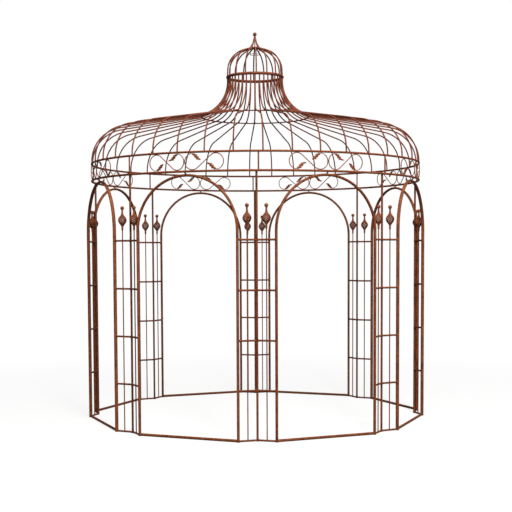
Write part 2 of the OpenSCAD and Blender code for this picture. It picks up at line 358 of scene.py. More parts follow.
def finish_piece(piece, slot, *replaced):
    """Coats a piece as its slot's pieces are, and shows it instead of those named."""
    piece.data.materials.clear()
    piece.data.materials.append(MATERIALS[slot])
    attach(piece, "root")
    if replaced:
        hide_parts(*replaced)


# --- settings ----------------------------------------------------------------

def number(name, description, default, low, high, **kind):
    """Setting for a number; kind is its unit or subtype."""
    return bpy.props.FloatProperty(name=name, description=description, default=default,
                                   min=low, max=high, **kind)


def metres(name, description, default, low, high):
    """Setting for a size."""
    return number(name, description, default, low, high, unit="LENGTH")


def angle(name, description, degrees, low=-720, high=720):
    """Setting for an angle, given in degrees."""
    return number(name, description, math.radians(degrees), math.radians(low),
                  math.radians(high), subtype="ANGLE")


def colour(name, description, code):
    """Setting for a colour, given as sRGB hex."""
    return bpy.props.FloatVectorProperty(name=name, description=description,
                                         default=paint(code), size=4, min=0, max=1,
                                         subtype="COLOR")


class GazeboFinish(bpy.types.PropertyGroup):
    """Colours of the rust and of the painted shade, and how the rust lies on the steel."""
    tube: colour("Tube", "Even brown of the tubes and rings", "#804220")
    bar: colour("Bar", "Even brown of the posts, rungs and welds", "#7a3e1e")
    forged: colour("Forged", "Even brown of scrolls, leaves and baskets", "#85431f")
    rod: colour("Rod", "Even brown of the roof's rods and collars", "#783c25")
    # painted shade: nearly black tone mixed onto undersides and onto sides that face the middle
    painted_shade: colour("Painted shade", "Nearly black rust of undersides and inner sides", "#301308")
    patch: number("Patch size", "Size of the patches of rust, 1 as found",
                  1.0, 0.3, 4.0, subtype="FACTOR")
    stain: number("Run marks", "Strength of the dark run marks, 1 as found",
                  1.0, 0.0, 1.2, subtype="FACTOR")
    pitting: metres("Pitting", "Depth of the fine pits", 0.0006, 0.0, 0.002)


class GazeboRoof(bpy.types.PropertyGroup):
    """Sizes of the dome's ribs and the hoop that ties them."""
    rib: metres("Rib", "Thickness of a rib", 0.0125, 0.008, 0.014)
    rise: metres("Shoulder rise", "Upper ring to the shoulder's sharp corner", 0.282, 0.27, 0.31)
    slope: angle("Shoulder slope", "Slope of the shoulder", 9.7, 6, 11)
    shoulder_bend: metres(
        "Shoulder bend", "Radius of the bend over the upper ring", 0.312, 0.25, 0.33)
    foot: metres("Neck foot", "Radius at which the ribs turn up into the neck", 0.432, 0.42, 0.47)
    foot_bend: metres("Foot bend", "Radius of the bend at the neck's foot", 0.340, 0.1, 0.375)
    neck_slope: angle("Neck slope", "Slope of the neck above its foot", 43.2, 41, 48)
    neck_bend: metres(
        "Neck bend", "Radius of the bend that brings the neck upright", 0.328, 0.2, 0.37)
    hoop: metres("Hoop", "Radius of the hoop under the ribs", 0.495, 0.45, 0.51)
    hoop_rod: metres("Hoop rod", "Thickness of the hoop", 0.0115, 0.008, 0.013)


class GazeboBays(bpy.types.PropertyGroup):
    """Sizes of the oval tube of the bay frames."""
    face: metres("Face", "Width of the tube in the plane of its bay", 0.0215, 0.018, 0.024)
    depth: metres("Depth", "Width of the tube across its bay", 0.0300, 0.018, 0.034)
    sill: metres("Threshold", "Height of the threshold bar", 0.0240, 0.016, 0.026)


class GazeboLantern(bpy.types.PropertyGroup):
    """Sizes of the lantern on the dome and of its finial."""
    rib: metres("Rib", "Thickness of a lantern rib", 0.0125, 0.008, 0.014)
    lean: metres("Lean", "How far the ribs lean in below their bend", 0.010, 0.0, 0.016)
    rise: metres("Rise", "Collar to the sharp corner of the ribs", 0.203, 0.19, 0.22)
    bend: metres("Bend", "Radius of the bend of the ribs", 0.185, 0.16, 0.195)
    wire: metres("Finial wire", "Thickness of a wire of the finial", 0.0090, 0.006, 0.010)
    waist: metres("Finial waist", "Radius at which the finial's wires turn up", 0.018, 0.01, 0.03)
    ball: metres("Finial ball", "Width of the ball on top", 0.036, 0.03, 0.045)


class GazeboRings(bpy.types.PropertyGroup):
    """Thickness of the rings."""
    lower: metres("Lower ring", "Thickness of the ring over the arches", 0.0185, 0.016, 0.021)
    upper: metres("Upper ring", "Thickness of the ring under the dome", 0.0180, 0.0145, 0.021)
    collar: metres("Collar", "Thickness of the collar on the neck", 0.0265, 0.022, 0.028)


class GazeboBaskets(bpy.types.PropertyGroup):
    """Sizes of the twisted wire baskets on the thin rods."""
    wires: bpy.props.IntProperty(
        name="Wires", description="Number of wires in one basket",
        default=8, min=4, max=12)
    height: metres("Height", "Height of the twisted wires", 0.106, 0.09, 0.12)
    width: metres("Width", "Width of the basket at its widest", 0.074, 0.06, 0.08)
    wire: metres("Wire", "Thickness of a wire", 0.0095, 0.006, 0.010)
    twist: angle("Twist", "Turn of a wire from foot to head, negative for left", -330)
    ball: metres("Ball", "Width of the ball on top", 0.033, 0.028, 0.036)


class GazeboFrieze(bpy.types.PropertyGroup):
    """Sizes of the scrolls and leaves between the two rings."""
    rod: metres("Rod", "Thickness of the scroll rods", 0.008, 0.006, 0.01)
    pitch: metres("Pitch", "Distance between the two turns of a scroll", 0.196, 0.18, 0.21)
    sweep: angle("Sweep", "Angle that each turn sweeps", 216)
    leaf: metres("Leaf length", "Length of a leaf along its middle", 0.094, 0.07, 0.1)
    leaf_width: metres("Leaf width", "Width of a leaf at its widest", 0.037, 0.02, 0.04)


class GazeboWelds(bpy.types.PropertyGroup):
    """Weld beads where the bars meet."""
    swell: number("Swell", "Width of a bead for each unit of bar thickness",
                  1.45, 1.1, 1.8)
    seed: bpy.props.IntProperty(
        name="Seed", description="Seed of the beads' irregular shapes", default=7)


class GazeboStage(bpy.types.PropertyGroup):
    """Camera, light and studio paper."""
    distance: metres(
        "Distance", "Camera to the middle of the gazebo, along the ground", 10.143, 4, 40)
    height: metres("Eye height", "Height of the camera above the ground", 1.532, 0.2, 10)
    pitch: angle("Pitch", "How far the camera looks down", 3.5)
    azimuth: angle("Azimuth", "Turn of the camera around the gazebo", -0.328)
    roll: angle("Roll", "Clockwise roll of the camera", 0.253)
    lens: number("Lens", "Focal length on a 36 mm sensor", 76.43, 10, 300, unit="CAMERA")
    rise: number("Rising front", "Upward shift of the picture", 0.119, -1, 1)
    key: number("Key light", "Power of the softbox in front", 1500, 0, 9000, unit="POWER")
    top: number("Top light", "Power of the softbox overhead", 480, 0, 9000, unit="POWER")
    daylight: number("Daylight", "Strength of the even light from all round", 0.12, 0, 2)
    paper: colour("Paper", "Tone of the studio paper", "#f6f5f3")


# --- finishes ----------------------------------------------------------------

# share of painted shade on the sides that face the middle
INNER_SHADE = 0.35
# material of each slot, made by the first operator
MATERIALS = {}


def rusted_steel(name, tones, patch_mm, streak, pit_mm, roughness, painted_shade, pit_depth):
    """Bare mild steel left to rust: a dry oxide skin, so no metal sheen and a matt,
    grainy surface; patches of brown and orange, run marks down the bars and fine pits.
    Undersides and sides that face the middle are darkened nearly to black as painted
    shade. tones are dark run mark, deep brown, even brown, orange bloom and painted shade."""
    run_mark, deep, even, bloom, painted_shade_tone = tones
    material = bpy.data.materials.new(name)
    tree = clear_tree(material)
    spot = add_node(tree, "ShaderNodeTexCoord").outputs
    where = spot["Object"]
    patches = add_node(tree, "ShaderNodeTexNoise", {
        "Vector": where, "Scale": 1000 / patch_mm, "Detail": 6.0, "Roughness": 0.62})
    skin = add_node(tree, "ShaderNodeValToRGB", {"Fac": patches})
    spread(skin, [(0.30, deep), (0.52, even), (0.74, bloom)])
    # run marks are about six times as long as wide
    run = add_node(tree, "ShaderNodeMapping", {"Vector": where, "Scale": (1, 1, 0.16)})
    marks = add_node(tree, "ShaderNodeTexNoise", {
        "Vector": run, "Scale": 1600 / patch_mm, "Detail": 3.0})
    mark = add_node(tree, "ShaderNodeValToRGB", {"Fac": marks})
    spread(mark, [(0.50, (0, 0, 0, 1)), (0.70, (streak, streak, streak, 1))])
    stained = add_node(tree, "ShaderNodeMix", {
        "Factor": mark, "A": skin, "B": run_mark}, data_type="RGBA")
    # painted shade: faces that point down, and faces turned towards the gazebo's middle, are
    # mixed towards the shade tone
    facing = add_node(tree, "ShaderNodeSeparateXYZ", {"Vector": spot["Normal"]})
    under = add_node(tree, "ShaderNodeMapRange", {
        "Value": facing.outputs["Z"], "From Min": 0.0, "From Max": -0.9, "To Min": 0.0,
        "To Max": painted_shade})
    level = add_node(tree, "ShaderNodeVectorMath", {0: where, 1: (1, 1, 0)}, operation="MULTIPLY")
    outward = add_node(tree, "ShaderNodeVectorMath", {0: level}, operation="NORMALIZE")
    turned_out = add_node(tree, "ShaderNodeVectorMath", {
        0: outward, 1: spot["Normal"]}, operation="DOT_PRODUCT")
    inner = add_node(tree, "ShaderNodeMapRange", {
        "Value": turned_out, "From Min": -0.1, "From Max": -0.8, "To Min": 0.0,
        "To Max": INNER_SHADE})
    painted_shade_share = add_node(tree, "ShaderNodeMath", {0: under, 1: inner}, operation="MAXIMUM")
    shaded = add_node(tree, "ShaderNodeMix", {
        "Factor": painted_shade_share, "A": stained, "B": painted_shade_tone}, data_type="RGBA")
    pits = add_node(tree, "ShaderNodeTexNoise", {
        "Vector": where, "Scale": 1000 / pit_mm, "Detail": 2.0, "Roughness": 0.7})
    dry = add_node(tree, "ShaderNodeMapRange", {
        "Value": patches, "From Min": 0.3, "From Max": 0.7, "To Min": roughness - 0.12,
        "To Max": roughness + 0.06})
    grain = add_node(tree, "ShaderNodeBump", {
        "Height": pits, "Strength": 0.35, "Distance": pit_depth})
    scale_skin = add_node(tree, "ShaderNodeBump", {
        "Height": patches, "Strength": 0.5, "Distance": 0.0015, "Normal": grain})
    shader = add_node(tree, "ShaderNodeBsdfPrincipled", {
        "Base Color": shaded, "Roughness": dry, "Metallic": 0.0, "Specular IOR Level": 0.25,
        "Normal": scale_skin})
    add_node(tree, "ShaderNodeOutputMaterial", {"Surface": shader})
    return material


# for each slot: name, setting of the even brown, run mark, deep brown and bloom, size of
# the patches in millimetres, strength of the run marks, size of the pits in millimetres,
# roughness, and share of painted shade on the undersides
FINISHES = {
    # bent tube and rings: the smoothest bars, so broad patches
    "frame_tube": ("rusted_mild_steel_tube", "tube", ("#411d0c", "#623016", "#9c582c"),
                   26, 0.75, 2.4, 0.80, 0.35),
    # posts, rungs and thin rods of the pillars: darker, with more run marks
    "trellis_bar": ("rusted_hot_rolled_bar", "bar", ("#3c1a0a", "#5c2c14", "#945029"),
                    18, 0.85, 2.0, 0.84, 0.5),
    # forged scrolls, leaves and baskets: a lighter, warmer and smoother skin
    "forged_ornament": ("rusted_forged_steel", "forged", ("#3d1a09", "#642f14", "#b0662f"),
                        12, 0.7, 1.6, 0.62, 0.3),
    # thin drawn rod of the dome: even, with strong painted shade underneath
    "roof_rod": ("rusted_drawn_rod", "rod", ("#3e1b0d", "#5c2d1b", "#925034"),
                 20, 0.8, 1.6, 0.82, 0.8),
}


class GAZEBO_OT_finishes(bpy.types.Operator):
    """Give every bar and tube its rusted finish"""
    bl_idname = "gazebo.finishes"
    bl_label = "Rusted finishes"

    def execute(self, context):
        size = context.scene.gazebo_finish
        for slot, (name, even, tones, patch, streak, pit, rough, painted_shade) in FINISHES.items():
            run_mark, deep, bloom = (paint(code) for code in tones)
            MATERIALS[slot] = rusted_steel(
                name, (run_mark, deep, getattr(size, even), bloom, size.painted_shade),
                patch * size.patch, min(1, streak * size.stain), pit, rough, painted_shade,
                size.pitting)
        for part in frame["record"]["subparts"]:
            node = NODES[part["node"]]
            material = MATERIALS[part["material_slot"]]
            if not node.material_slots:
                node.data.materials.append(material)
            for slot in node.material_slots:
                slot.material = material
        return {"FINISHED"}


# --- dome ribs ---------------------------------------------------------------

def bent_rods(name, corners, bends, rod, count, first):
    """Geometry nodes: a roof rod bent at each corner of a line, repeated around Z."""
    tree, given = new_growth(name, {
        "Count": "Int", "First": "Float", "Rod radius": "Float"})
    bend = add_node(tree, "GeometryNodeInputNamedAttribute", {
        "Name": "bend"}, data_type="FLOAT_VECTOR")
    line = add_node(tree, "GeometryNodeMeshToCurve", {"Mesh": given["Geometry"]})
    bent = add_node(tree, "GeometryNodeFilletCurve", {
        "Curve": line, "Count": 16, "Radius": bend}, mode="POLY")
    bar = round_bar(tree, bent, given["Rod radius"], 10)
    rods = around_z(tree, bar, given["Count"], given["First"])
    end_growth(tree, rods, MATERIALS["roof_rod"])
    return grown(name, corners, tree,
                 {"Count": count, "Rod radius": rod / 2, "First": first},
                 {"bend": [(bend, bend, bend) for bend in bends]},
                 [(i, i + 1) for i in range(len(corners) - 1)])


def hoop_height(size):
    """Height at which the hoop touches the ribs' undersides, inside the foot bend."""
    corner_z = UPPER_Z + size.rise + (RING_R - size.foot) * math.tan(size.slope)
    lead = size.foot_bend * math.tan((size.neck_slope - size.slope) / 2)
    middle_r = (size.foot + lead * math.cos(size.slope)
                + size.foot_bend * math.sin(size.slope))
    middle_z = (corner_z - lead * math.sin(size.slope)
                + size.foot_bend * math.cos(size.slope))
    reach = size.foot_bend + (size.rib + size.hoop_rod) / 2
    return middle_z - math.sqrt(reach ** 2 - (middle_r - size.hoop) ** 2)


class GAZEBO_OT_dome(bpy.types.Operator):
    """Bend the dome's ribs in one sweep from the upper ring to the collar"""
    bl_idname = "gazebo.dome"
    bl_label = "Dome ribs"

    def execute(self, context):
        size = context.scene.gazebo_roof
        shoulder_z = UPPER_Z + size.rise
        foot_z = shoulder_z + (RING_R - size.foot) * math.tan(size.slope)
        neck_z = foot_z + (size.foot - COLLAR_R) * math.tan(size.neck_slope)
        low = [(0, -RING_R, UPPER_Z + UPPER_BAR / 2 + SEAT), (0, -RING_R, shoulder_z)]
        high = [(0, -size.foot, foot_z), (0, -COLLAR_R, neck_z),
                (0, -COLLAR_R, COLLAR_Z - COLLAR_BAR / 2 - SEAT)]
        corners = low + place(high, Matrix.Rotation(NECK_TURN, 4, "Z"))
        bends = [0, size.shoulder_bend, size.foot_bend, size.neck_bend, 0]
        ribs = bent_rods("dome_ribs", corners, bends, size.rib, BAYS * RIBS_PER_BAY,
                         TURN / RIBS_PER_BAY / 2 + RIB_TURN)
        finish_piece(ribs, "roof_rod", *(f"roof_ribs_{k + 1}" for k in range(BAYS)))
        hoop = mesh_object("dome_hoop", *hoop_shape(size.hoop, hoop_height(size),
                                                    size.hoop_rod, 96))
        finish_piece(hoop, "roof_rod", "neck_hoop")
        return {"FINISHED"}


# --- bay frames --------------------------------------------------------------

ARCH_STEPS = 36
# a ring of corners this near a cut end keeps the shading of a long bar even
END_EDGE = 0.003


def straight(start, end):
    """Path of a straight bar."""
    edge = (end - start).normalized() * END_EDGE
    return [start, start + edge, end - edge, end]


class GAZEBO_OT_bays(bpy.types.Operator):
    """Bend each bay's oval tube over its arch and close it with its threshold"""
    bl_idname = "gazebo.bays"
    bl_label = "Bay frames"

    def execute(self, context):
        size = context.scene.gazebo_bays
        crown = Vector((0, 0, LOWER_Z - ARCH_DROP))
        path = [Vector((-FRAME_HALF, 0, z)) for z in (0, END_EDGE)]
        for i in range(ARCH_STEPS + 1):
            a = math.pi * (1 - i / ARCH_STEPS)
            path.append(crown + Vector((math.cos(a), 0, math.sin(a) - 1)) * FRAME_HALF)
        path += [Vector((FRAME_HALF, 0, z)) for z in (END_EDGE, 0)]
        leg = moved(tube(path, size.face / 2, 16),
                    Matrix.Diagonal((1, size.depth / size.face, 1, 1)))
        across = straight(Vector((-FRAME_HALF, 0, 0)), Vector((FRAME_HALF, 0, 0)))
        sill = moved(tube(across, THRESHOLD_D / 2, 12),
                     Matrix.Translation((0, 0, size.sill / 2))
                     @ Matrix.Diagonal((1, 1, size.sill / THRESHOLD_D, 1)))
        run = Vector((0, FRAME_Y - RING_R, LOWER_Z)) - crown
        top = crown + run - run.normalized() * LOWER_BAR / 2
        stud = tube(straight(crown, top), NUB_D / 2, 12)
        shape = join([leg, sill, stud])
        for k in range(BAYS):
            here = at_bay(k) @ Matrix.Translation((0, -FRAME_Y, 0))
            bay = mesh_object(f"bay_tube_{k + 1}", *moved(shape, here))
            finish_piece(bay, "frame_tube", f"bay_frame_{k + 1}")
        return {"FINISHED"}


# --- lantern and finial ------------------------------------------------------

# where the finial's wires turn up, over the crown ring, and the radius of that bend
WAIST_RISE = 0.045
WAIST_BEND = 0.08
# middle of the ball, over the crown ring
BALL_UP = 0.125
# stem of the ball: its radius, and its foot below the ball's middle
STEM_R = 0.0065
STEM_DOWN = 0.055
# top ends of the wires: radius, and depth below the ball's middle
WIRE_HEAD = (0.0045, 0.021)


class GAZEBO_OT_lantern(bpy.types.Operator):
    """Bend the lantern's ribs and the wires of its finial, and turn the ball"""
    bl_idname = "gazebo.lantern"
    bl_label = "Lantern and finial"

    def execute(self, context):
        size = context.scene.gazebo_lantern
        corner = Vector((0, -COLLAR_R + size.lean, COLLAR_Z + size.rise))
        crown = Vector((0, -CROWN_R, CROWN_Z))
        head = crown - (crown - corner).normalized() * (CROWN_BAR / 2 + SEAT)
        foot = Vector((0, -COLLAR_R, COLLAR_Z + COLLAR_BAR / 2 + SEAT))
        ribs = bent_rods("lantern_bows", [foot, corner, head], [0, size.bend, 0],
                         size.rib, LANTERN_RIBS, LANTERN_TURN)
        finish_piece(ribs, "roof_rod", "lantern_ribs")
        ball_z = CROWN_Z + BALL_UP
        waist = Vector((0, -size.waist, CROWN_Z + WAIST_RISE))
        foot = crown + (waist - crown).normalized() * (CROWN_BAR / 2 + SEAT)
        head_r, head_down = WIRE_HEAD
        wires = bent_rods("finial_wires", [foot, waist, (0, -head_r, ball_z - head_down)],
                          [0, WAIST_BEND, 0], size.wire, FINIAL_WIRES, math.pi / 2)
        finish_piece(wires, "roof_rod", "roof_finial")
        stem_z = ball_z - STEM_DOWN
        stem = [(0, stem_z), (STEM_R * 0.7, stem_z + 0.004), (STEM_R, stem_z + 0.012)]
        profile = stem + ball_arc(ball_z, size.ball / 2, STEM_R, 12)
        ball = mesh_object("finial_ball", *turned(profile, 28))
        finish_piece(ball, "roof_rod")
        return {"FINISHED"}


# --- rings -------------------------------------------------------------------

class GAZEBO_OT_rings(bpy.types.Operator):
    """Bend the two rings of the frieze and the collar"""
    bl_idname = "gazebo.rings"
    bl_label = "Rings"

    def execute(self, context):
        size = context.scene.gazebo_rings
        for name, radius, z, bar, slot, node in (
                ("ring_over_arches", RING_R, LOWER_Z, size.lower, "frame_tube",
                 "lower_ring"),
                ("ring_under_dome", RING_R, UPPER_Z, size.upper, "frame_tube",
                 "upper_ring"),
                ("neck_collar", COLLAR_R, COLLAR_Z, size.collar, "roof_rod",
                 "collar_ring")):
            ring = mesh_object(name, *hoop_shape(radius, z, bar, 160, 14))
            finish_piece(ring, slot, node)
        return {"FINISHED"}


# --- basket finials ----------------------------------------------------------

# foot of the wires, over the top of the thin rod
COLLAR_H = 0.038
# ends of the wires: radius at which they meet, and how far they run into the collars
WIRE_END_R = 0.004
WIRE_REACH = 0.003
# middle of the ball, over the head of the wires
BALL_RISE = 0.048
NECK_R = 0.0075
# power that draws the wires in at their ends
FLARE = 1.7


def basket_tree(material):
    """Geometry nodes: twisted wires that swell out and close again, on every point."""
    tree, given = new_growth("twisted_wire_basket", {
        "Height": "Float", "Radius": "Float", "End radius": "Float", "Twist": "Float",
        "Wire radius": "Float", "Wires": "Int"})
    line = add_node(tree, "GeometryNodeCurvePrimitiveLine", {"End": (0, 0, 1)})
    fine = add_node(tree, "GeometryNodeResampleCurve", {"Curve": line, "Count": 33})
    t = add_node(tree, "GeometryNodeSplineParameter")
    half_turn = add_node(tree, "ShaderNodeMath", {0: t, 1: math.pi}, operation="MULTIPLY")
    bow = add_node(tree, "ShaderNodeMath", {0: half_turn}, operation="SINE", use_clamp=True)
    swell = add_node(tree, "ShaderNodeMath", {0: bow, 1: FLARE}, operation="POWER")
    reach = add_node(tree, "ShaderNodeMath", {
        0: given["Radius"], 1: given["End radius"]}, operation="SUBTRACT")
    radius = add_node(tree, "ShaderNodeMath", {
        0: swell, 1: reach, 2: given["End radius"]}, operation="MULTIPLY_ADD")
    twist = add_node(tree, "ShaderNodeMath", {0: t, 1: given["Twist"]}, operation="MULTIPLY")
    cosine = add_node(tree, "ShaderNodeMath", {0: twist}, operation="COSINE")
    sine = add_node(tree, "ShaderNodeMath", {0: twist}, operation="SINE")
    x = add_node(tree, "ShaderNodeMath", {0: radius, 1: cosine}, operation="MULTIPLY")
    y = add_node(tree, "ShaderNodeMath", {0: radius, 1: sine}, operation="MULTIPLY")
    z = add_node(tree, "ShaderNodeMath", {0: t, 1: given["Height"]}, operation="MULTIPLY")
    spot = add_node(tree, "ShaderNodeCombineXYZ", {"X": x, "Y": y, "Z": z})
    bent = add_node(tree, "GeometryNodeSetPosition", {"Geometry": fine, "Position": spot})
    wire = round_bar(tree, bent, given["Wire radius"], 6)
    basket = around_z(tree, wire, given["Wires"], 0.0)
    whole = add_node(tree, "GeometryNodeRealizeInstances", {"Geometry": basket})
    all_places = add_node(tree, "GeometryNodeInstanceOnPoints", {
        "Points": given["Geometry"], "Instance": whole})
    end_growth(tree, all_places, material)
    return tree


class GAZEBO_OT_baskets(bpy.types.Operator):
    """Twist the wire baskets and turn their collars, necks and balls"""
    bl_idname = "gazebo.baskets"
    bl_label = "Basket finials"

    def execute(self, context):
        size = context.scene.gazebo_baskets
        foot = THIN_TOP + COLLAR_H
        spots = [at_pillar(k) @ Vector((s * THIN_X, -THIN_Y, 0))
                 for k in range(BAYS) for s in (-1, 1)]
        wires = grown(
            "basket_wires", [p + Vector((0, 0, foot - WIRE_REACH)) for p in spots],
            basket_tree(MATERIALS["forged_ornament"]),
            {"Height": size.height + 2 * WIRE_REACH, "Radius": (size.width - size.wire) / 2,
             "End radius": WIRE_END_R, "Twist": size.twist, "Wire radius": size.wire / 2,
             "Wires": size.wires})
        finish_piece(wires, "forged_ornament", "basket_finials")
        collar = [(0, 0), (0.0048, 0), (0.0056, 0.003), (0.0074, 0.009), (0.0085, 0.014),
                  (0.0088, 0.020), (0.0088, 0.031), (0.0080, 0.034), (0.0086, 0.037),
                  (0.0080, 0.041), (0.0050, 0.045), (0, 0.046)]
        # heights of the neck and ball are over the top of the thin rod
        neck_low = COLLAR_H + size.height
        ball = ball_arc(neck_low + BALL_RISE, size.ball / 2, NECK_R, 8)
        under = ball[0][1]
        neck = [(0, neck_low - 0.010), (0.0080, neck_low - 0.008),
                (0.0102, neck_low - 0.003), (0.0102, neck_low + 0.001),
                (0.0088, neck_low + 0.007), (NECK_R, neck_low + 0.016),
                (NECK_R, under - 0.004), (NECK_R + 0.0016, under - 0.002)] + ball
        shapes = []
        for p in spots:
            here = Matrix.Translation(p + Vector((0, 0, THIN_TOP)))
            shapes += [moved(turned(profile), here) for profile in (collar, neck)]
        turned_parts = mesh_object("basket_collars_and_balls", *join(shapes))
        finish_piece(turned_parts, "forged_ornament")
        return {"FINISHED"}


# --- frieze ------------------------------------------------------------------

LEAF_STEPS = 28
LEAF_ACROSS = 8
LEAF_LOBES = 4
# share of the full width at the leaf's ends and at the root of a lobe, and how far along
# its length a lobe is widest
LEAF_END = 0.2
LOBE_ROOT = 0.46
LOBE_TIP = 0.8
# the edges run ahead of the midrib by this share of the half width
LEAF_SWEPT = 0.3
# share of the leaf's length at which its tip starts to bend
CURL_FROM = 0.6
# relief of a leaf: sway of its middle, bend of its tip, cup, midrib, veins and thickness
LEAF_WAVE = 0.004
LEAF_CURL = 0.012
LEAF_CUP = 0.0034
LEAF_MIDRIB = 0.0018
LEAF_VEIN = 0.0012
LEAF_T = 0.0026
# a leaf leans out from the end of its scroll, and laps over it
LEAF_LEAN = math.radians(38)
LEAF_LAP = math.radians(2)
SCROLL_STEPS = 34
# the scroll rod thins to this share at its ends, over this many steps
SCROLL_END = 0.72
SCROLL_TAPER = 8


def leaf_half_width(t, width):
    """Half width of a leaf at t: a pointed oval with lobes that lean forward."""
    oval = LEAF_END + (1 - LEAF_END) * math.sin(math.pi * t)
    lobe = (t * LEAF_LOBES) % 1.0
    rise = lobe / LOBE_TIP if lobe < LOBE_TIP else (1 - lobe) / (1 - LOBE_TIP)
    return width / 2 * oval * (LOBE_ROOT + (1 - LOBE_ROOT) * rise ** 0.8)


def leaf_shape(length, width):
    """A leaf beaten from thin sheet: cupped across, with a raised midrib, a vein to each
    lobe and a rolled tip. It starts at the origin and runs along +X, with its face to
    -Y."""
    corners, faces = [], []
    for front in (True, False):
        for i in range(LEAF_STEPS + 1):
            t = i / LEAF_STEPS
            half = leaf_half_width(t, width)
            curl = LEAF_CURL * max(0, (t - CURL_FROM) / (1 - CURL_FROM)) ** 2
            for j in range(LEAF_ACROSS + 1):
                s = 2 * j / LEAF_ACROSS - 1
                x = length * t + abs(s) * half * LEAF_SWEPT * (1 - t)
                z = LEAF_WAVE * math.sin(2 * math.pi * t) + s * half
                y = LEAF_CUP * s * s - curl
                if front:
                    vein = max(0, math.cos(2 * math.pi * (t * LEAF_LOBES - 0.8 * abs(s))))
                    y -= (LEAF_MIDRIB * math.exp(-(s / 0.2) ** 2) * (1 - 0.6 * t)
                          + LEAF_VEIN * vein * abs(s) * (1 - abs(s)) * 4)
                edge = LEAF_T / 2 * (1 - 0.5 * abs(s) ** 3)
                corners.append(Vector((x, y - edge if front else y + edge, z)))
    row = LEAF_ACROSS + 1
    back = (LEAF_STEPS + 1) * row
    for i in range(LEAF_STEPS):
        for j in range(LEAF_ACROSS):
            a = i * row + j
            faces.append([a, a + 1, a + row + 1, a + row])
            faces.append([back + a, back + a + row, back + a + row + 1, back + a + 1])
        for j in (0, LEAF_ACROSS):
            a = i * row + j
            faces.append([a, a + row, back + a + row, back + a])
    for i in (0, LEAF_STEPS):
        for j in range(LEAF_ACROSS):
            a = i * row + j
            faces.append([a, a + 1, back + a + 1, back + a])
    tip = Vector((length, -LEAF_CURL, 0))
    roll = turned([(0, -0.0042), (0.0024, -0.0035), (0.0040, -0.0012),
                   (0.0040, 0.0012), (0.0024, 0.0035), (0, 0.0042)], 10)
    return join([(corners, faces), moved(roll, Matrix.Translation(tip))])


def scroll_shape(size, band):
    """One scroll in the XZ plane around the origin: two turns joined by a diagonal,
    each ending in a leaf."""
    turn_r = (band - size.rod) / 2
    tilt = math.acos(2 * turn_r / size.pitch)
    finish = 2 * math.pi - tilt
    begin = finish - size.sweep

    def on_turn(a):
        """Point of the left turn at an angle."""
        return Vector((-size.pitch / 2 + turn_r * math.cos(a), 0, turn_r * math.sin(a)))

    arc = [on_turn(begin + size.sweep * i / SCROLL_STEPS) for i in range(SCROLL_STEPS + 1)]
    path = arc + [-p for p in reversed(arc)]
    last = len(path) - 1
    shares = [min(1, SCROLL_END + (1 - SCROLL_END) * min(i, last - i) / SCROLL_TAPER)
              for i in range(last + 1)]
    shapes = [tube(path, [size.rod / 2 * share for share in shares], 12)]
    foot = on_turn(begin + LEAF_LAP)
    lean = begin - math.pi / 2 - LEAF_LEAN
    leaf = leaf_shape(size.leaf, size.leaf_width)
    # a turn around Y that takes +X towards +Z is negative in the right-hand sense
    there = Matrix.Translation(foot) @ Matrix.Rotation(-lean, 4, "Y")
    for half_turn in (0, math.pi):
        shapes.append(moved(leaf, Matrix.Rotation(half_turn, 4, "Y") @ there))
    return join(shapes)


class GAZEBO_OT_frieze(bpy.types.Operator):
    """Bend the scrolls, beat the leaves and set the end bars between the rings"""
    bl_idname = "gazebo.frieze"
    bl_label = "Scroll frieze"

    def execute(self, context):
        size = context.scene.gazebo_frieze
        low = LOWER_Z + LOWER_BAR / 2 + SEAT
        high = UPPER_Z - UPPER_BAR / 2 - SEAT
        band = high - low
        turn_r = (band - size.rod) / 2
        scroll_y = RING_R * math.cos(math.asin(size.pitch / 2 / RING_R))
        half = size.pitch / 2 + turn_r + size.rod / 2
        lean = math.atan((half + SEAT) / scroll_y)
        here = (Matrix.Rotation(lean, 4, "Z")
                @ Matrix.Translation((0, -scroll_y, (low + high) / 2)))
        right = moved(scroll_shape(size, band), here)
        corners, faces = moved(right, Matrix.Scale(-1, 4, (1, 0, 0)))
        left = corners, [face[::-1] for face in faces]
        r = END_BAR_D / 2
        bar = turned([(0, low), (r - 0.0005, low), (r, low + 0.001), (r, high - 0.001),
                      (r - 0.0005, high), (0, high)], 14)
        shift = math.asin(END_BAR_SHIFT / RING_R)
        for k in range(BAYS):
            stand = at_pillar(k, shift) @ Matrix.Translation((0, -RING_R, 0))
            shapes = [moved(right, at_bay(k)), moved(left, at_bay(k)), moved(bar, stand)]
            panel = mesh_object(f"scroll_panel_{k + 1}", *join(shapes))
            finish_piece(panel, "forged_ornament", f"frieze_{k + 1}")
        return {"FINISHED"}


# --- weld beads --------------------------------------------------------------

UP = (0, 0, 1)


